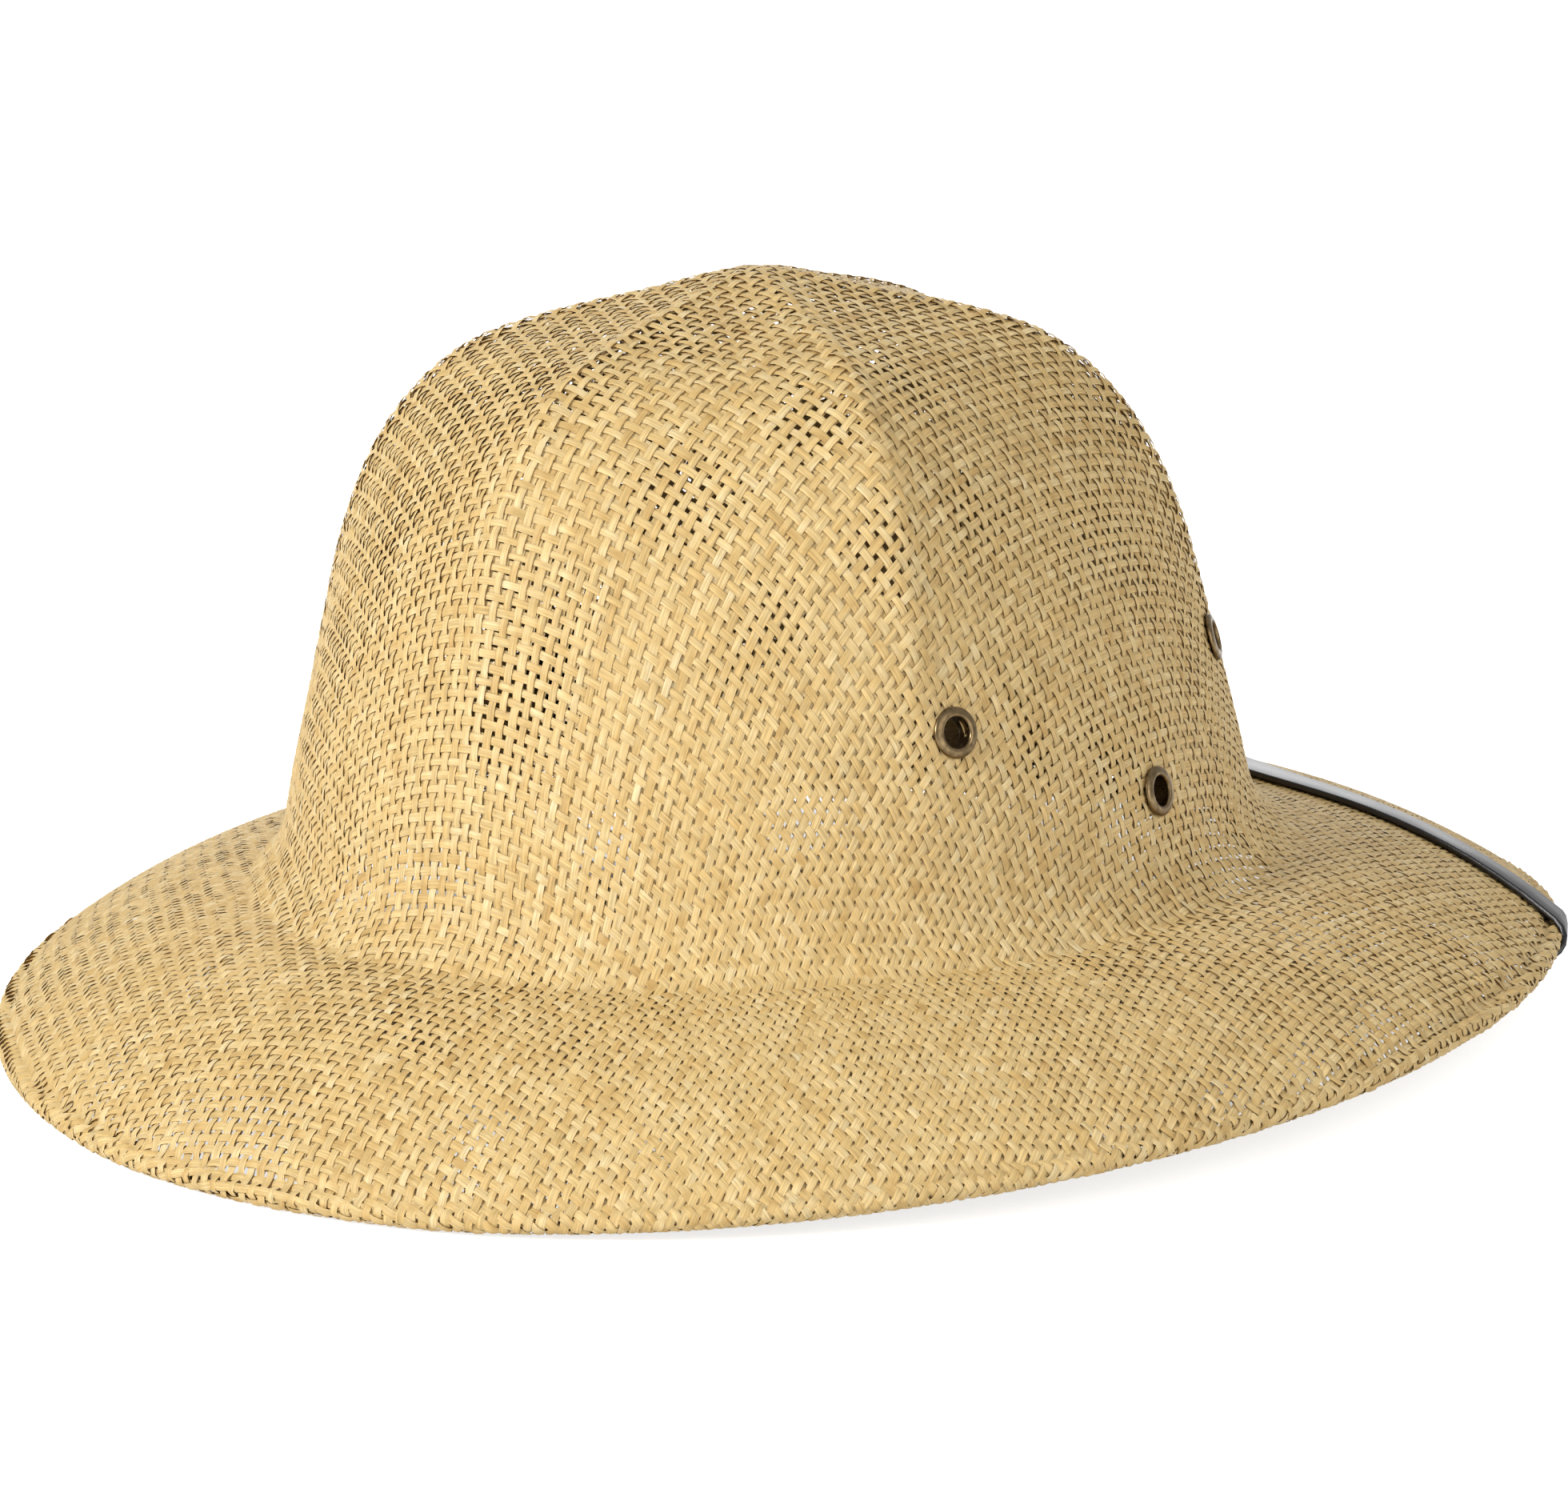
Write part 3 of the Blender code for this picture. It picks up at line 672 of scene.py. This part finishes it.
def ramp(tree, value, stops):
    node = add(tree, "ShaderNodeValToRGB")
    while len(node.color_ramp.elements) < len(stops):
        node.color_ramp.elements.new(1.0)
    for element, (at, colour) in zip(node.color_ramp.elements, stops):
        element.position = at
        element.color = (*colour, 1.0)
    tree.links.new(value, node.inputs["Fac"])
    return node.outputs["Color"]


def times(tree, colour, value):
    node = add(tree, "ShaderNodeMix", data_type="RGBA", blend_type="MULTIPLY")
    node.inputs["Factor"].default_value = 1.0
    tree.links.new(colour, node.inputs["A"])
    tree.links.new(value, node.inputs["B"])
    return node.outputs["Result"]


def bumped(tree, shader, height, strength, distance):
    node = add(tree, "ShaderNodeBump")
    node.inputs["Strength"].default_value = strength
    node.inputs["Distance"].default_value = distance
    tree.links.new(height, node.inputs["Height"])
    tree.links.new(node.outputs["Normal"], shader.inputs["Normal"])


def clouded(tree, shader, scale, detail, colours, rough_span):
    """Colour and roughness that change with one noise in the object's own space."""
    place = add(tree, "ShaderNodeTexCoord").outputs["Object"]
    clouds = noise(tree, place, scale, detail)
    tree.links.new(ramp(tree, clouds, colours), shader.inputs["Base Color"])
    tree.links.new(ranged(tree, clouds, NOISE_SPAN, rough_span), shader.inputs["Roughness"])
    return place


def straw_material():
    material, tree, shader = new_material("woven_paper_straw")
    place = add(tree, "ShaderNodeUVMap", uv_map="strip").outputs["UV"]
    tone = add(tree, "ShaderNodeAttribute", attribute_name="tone").outputs["Fac"]
    streaks = noise(tree, mapped(tree, place, STREAKS), 1.0, 3.0, 0.6)
    blotches = noise(tree, mapped(tree, place, BLOTCHES), 1.0)
    mixed = maths(tree, "ADD", tone, maths(tree, "MULTIPLY", blotches, BLOTCH_SHARE))
    mixed = maths(tree, "ADD", mixed, -BLOTCH_SHARE / 2)
    colour = ramp(tree, mixed, STRAW_COLOURS)
    grain = ranged(tree, streaks, NOISE_SPAN, STRAW_GRAIN)
    grain_colour = add(tree, "ShaderNodeCombineColor")
    for channel in ("Red", "Green", "Blue"):
        tree.links.new(grain, grain_colour.inputs[channel])
    colour = times(tree, colour, grain_colour.outputs["Color"])
    tree.links.new(colour, shader.inputs["Base Color"])
    tree.links.new(ranged(tree, streaks, NOISE_SPAN, STRAW_ROUGH), shader.inputs["Roughness"])
    shader.inputs["Specular IOR Level"].default_value = 0.35
    bumped(tree, shader, streaks, *STRAW_BUMP)
    return material


def brass_material():
    material, tree, shader = new_material("antique_brass")
    place = clouded(tree, shader, BRASS_CLOUDS, 3.0, BRASS_COLOURS, BRASS_ROUGH)
    shader.inputs["Metallic"].default_value = 1.0
    bumped(tree, shader, noise(tree, place, BRASS_GRAIN), *BRASS_BUMP)
    return material


def leather_material():
    material, tree, shader = new_material("glossy_black_leather")
    place = clouded(tree, shader, LEATHER_CLOUDS, 3.0, LEATHER_COLOURS, LEATHER_ROUGH)
    pores = add(tree, "ShaderNodeTexVoronoi")
    pores.inputs["Scale"].default_value = LEATHER_PORES
    tree.links.new(place, pores.inputs["Vector"])
    bumped(tree, shader, pores.outputs["Distance"], *LEATHER_BUMP)
    return material


def stud_material():
    material, tree, shader = new_material("black_painted_stud")
    clouded(tree, shader, STUD_SPECKS, 2.0, STUD_COLOURS, STUD_ROUGH)
    return material


def floor_material():
    material, tree, shader = new_material("pale_floor")
    place = add(tree, "ShaderNodeTexCoord").outputs["Object"]
    colour = ramp(tree, noise(tree, place, FLOOR_CLOUDS), FLOOR_COLOURS)
    tree.links.new(colour, shader.inputs["Base Color"])
    shader.inputs["Roughness"].default_value = 0.9
    shader.inputs["Specular IOR Level"].default_value = 0.1
    # The floor looks burnt out to the camera and in mirror images, as in the photograph. That
    # adds nothing to the diffuse light on the hat, and the floor under the hat stays dark.
    shader.inputs["Emission Color"].default_value = (1.0, 1.0, 1.0, 1.0)
    path = add(tree, "ShaderNodeLightPath").outputs
    reach = add(tree, "ShaderNodeVectorMath", operation="LENGTH")
    tree.links.new(place, reach.inputs[0])
    glows = [
        maths(tree, "MULTIPLY", path[ray], ranged(tree, reach.outputs["Value"], span, (0.0, 1.0)))
        for ray, span in (("Is Camera Ray", GLOW_FROM), ("Is Glossy Ray", MIRRORED_FROM))
    ]
    glow = maths(tree, "MULTIPLY", maths(tree, "MAXIMUM", *glows), FLOOR_GLOW)
    tree.links.new(glow, shader.inputs["Emission Strength"])
    return material


# Eyelets: radius and height over the crown's face in millimetres, once round the section.
EYELET_SECTION = (
    (4.50, 0.32), (4.55, 0.46), (4.50, 0.66), (4.33, 0.86), (4.05, 1.02), (3.70, 1.13),
    (3.35, 1.19), (3.08, 1.18), (2.88, 1.08), (2.76, 0.90), (2.70, 0.62), (2.70, -1.90),
    (2.74, -2.30), (2.92, -2.62), (3.25, -2.80), (3.65, -2.80), (3.95, -2.66), (4.10, -2.46),
    (4.05, -2.30), (3.85, -2.22), (3.15, -2.22), (3.15, 0.30),
)
EYELET_SIDES, EYELET_DOUBLES = 56, 2e-6
# The strap: edges sharper than this angle are rounded by this much, in steps, and what is
# left sharper than the last angle is shaded as an edge.
STRAP_SHARP, STRAP_ROUND, STRAP_ROUND_STEPS, STRAP_SMOOTH = 50, 0.3, 3, 40
# Strap: points nearer than this many metres are one, and triangles that lie flat within
# this many radians are joined in pairs.
STRAP_DOUBLES, STRAP_FLAT = 1e-5, 0.7


def deselect():
    for obj in bpy.context.selected_objects:
        obj.select_set(False)


def make_eyelet(name, seat, material):
    """The section carried once round the hole: a ring that is scaled and lifted step by step."""
    deselect()
    radius, height = EYELET_SECTION[0]
    bpy.ops.mesh.primitive_circle_add(
        vertices=EYELET_SIDES, radius=radius * MM, fill_type="NOTHING", location=(0, 0, height * MM)
    )
    ring = bpy.context.active_object
    ring.name = name
    bpy.ops.object.transform_apply(location=True, rotation=False, scale=False)
    bpy.ops.object.mode_set(mode="EDIT")
    bpy.ops.mesh.select_all(action="SELECT")
    for after_radius, after_height in EYELET_SECTION[1:] + EYELET_SECTION[:1]:
        bpy.ops.mesh.extrude_edges_move(
            TRANSFORM_OT_translate={"value": (0, 0, (after_height - height) * MM)}
        )
        grow = after_radius / radius
        bpy.ops.transform.resize(value=(grow, grow, 1.0), center_override=(0, 0, 0))
        radius, height = after_radius, after_height
    bpy.ops.mesh.select_all(action="SELECT")
    bpy.ops.mesh.remove_doubles(threshold=EYELET_DOUBLES)
    bpy.ops.mesh.normals_make_consistent(inside=False)
    bpy.ops.object.mode_set(mode="OBJECT")
    bpy.ops.object.shade_smooth()
    centre, normal = seat
    turned = Vector(normal).to_track_quat("Z", "Y").to_matrix().to_4x4()
    ring.matrix_world = Matrix.Translation(Vector(to_row(centre))) @ turned
    bpy.ops.object.transform_apply(location=True, rotation=True, scale=True)
    ring.data.name = name
    ring.data.materials.clear()
    ring.data.materials.append(material)
    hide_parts(name.replace("_ring", ""))
    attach(ring, "root")


def make_strap(material):
    """The CAD band with its doubles merged and its long edges rounded."""
    deselect()
    band = bpy.data.objects.new("chin_strap_band", nodes["chin_strap"].data.copy())
    scene.collection.objects.link(band)
    bpy.context.view_layer.objects.active = band
    band.select_set(True)
    bpy.ops.object.mode_set(mode="EDIT")
    bpy.ops.mesh.select_all(action="SELECT")
    bpy.ops.mesh.remove_doubles(threshold=STRAP_DOUBLES)
    bpy.ops.mesh.tris_convert_to_quads(face_threshold=STRAP_FLAT, shape_threshold=STRAP_FLAT)
    bpy.ops.mesh.select_all(action="DESELECT")
    bpy.ops.mesh.edges_select_sharp(sharpness=math.radians(STRAP_SHARP))
    bpy.ops.mesh.bevel(offset=STRAP_ROUND * MM, segments=STRAP_ROUND_STEPS, affect="EDGES")
    bpy.ops.object.mode_set(mode="OBJECT")
    bpy.ops.object.shade_smooth_by_angle(angle=math.radians(STRAP_SMOOTH))
    band.data.name = "chin_strap_band"
    band.data.materials.clear()
    band.data.materials.append(material)
    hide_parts("chin_strap")
    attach(band, "root")


def dress_node(name, material):
    """A CAD piece that is shown as it is, in its own material."""
    node = nodes[name]
    for slot in node.material_slots:
        slot.material = material
    if not node.material_slots:
        node.data.materials.append(material)


# The photograph's camera: the point it looks at, the way back from there to the camera and
# the distance, in metres, then roll in degrees, lens in millimetres and shift.
CAMERA_AIM = Vector((-0.0137, 0.0, 0.0747))
CAMERA_BACK = Vector((-0.8158, -0.5447, 0.1944)).normalized()
CAMERA_DISTANCE = 1.0266
CAMERA_ROLL = -0.336
CAMERA_LENS = 126.3
CAMERA_SHIFT = (0.0062, -0.0893)
# Lights: name, place and size in metres, power in watts and colour. The photograph's key
# light comes from the left, on the camera's side of the hat.
LIGHTS = (
    ("key", (-1.515, 0.403, 0.9), 0.6, 22.5, (1.0, 0.985, 0.96)),
    ("fill", (-0.6, -1.9, 0.8), 1.6, 10.5, (1.0, 0.98, 0.96)),
    ("backdrop", (1.6, 1.1, 0.5), 1.6, 8.0, (1.0, 1.0, 1.0)),
)
LIGHTS_AIM = Vector((0.0, 0.0, 0.07))
WORLD_STRENGTH = 0.55
FLOOR_SIZE, FLOOR_HEIGHT = 16.0, -0.0006


def make_camera():
    data = bpy.data.cameras.new("photo_camera")
    camera = bpy.data.objects.new("photo_camera", data)
    scene.collection.objects.link(camera)
    data.sensor_fit = "HORIZONTAL"
    data.sensor_width = 36.0
    data.lens = CAMERA_LENS
    data.shift_x, data.shift_y = CAMERA_SHIFT
    data.clip_start, data.clip_end = 0.05, 50.0
    camera.location = CAMERA_AIM + CAMERA_BACK * CAMERA_DISTANCE
    camera.rotation_mode = "QUATERNION"
    roll = Quaternion((0, 0, 1), math.radians(CAMERA_ROLL))
    camera.rotation_quaternion = CAMERA_BACK.to_track_quat("Z", "Y") @ roll
    scene.camera = camera


def soft_light(name, at, size, power, colour):
    data = bpy.data.lights.new(name, "AREA")
    data.shape = "DISK"
    data.size = size
    data.energy = power
    data.color = colour
    light = bpy.data.objects.new(name, data)
    scene.collection.objects.link(light)
    light.location = at
    light.rotation_mode = "QUATERNION"
    light.rotation_quaternion = (Vector(at) - LIGHTS_AIM).to_track_quat("Z", "Y")


def make_studio():
    deselect()
    bpy.ops.mesh.primitive_plane_add(size=FLOOR_SIZE, location=(0, 0, FLOOR_HEIGHT))
    floor = bpy.context.active_object
    floor.name = "studio_floor"
    floor.data.materials.append(floor_material())
    world = bpy.data.worlds.new("studio")
    world.use_nodes = True
    background = world.node_tree.nodes["Background"]
    background.inputs["Color"].default_value = (1.0, 1.0, 1.0, 1.0)
    background.inputs["Strength"].default_value = WORLD_STRENGTH
    scene.world = world
    for light in LIGHTS:
        soft_light(*light)
    scene.view_settings.view_transform = "Standard"


straw = straw_material()
brass = brass_material()
make_camera()
make_studio()
weave_hat(straw)
for eyelet_name, eyelet_place in SEATS.items():
    make_eyelet(eyelet_name + "_ring", eyelet_place, brass)
make_strap(leather_material())
stud = stud_material()
dress_node("strap_stud_right", stud)
dress_node("strap_stud_left", stud)
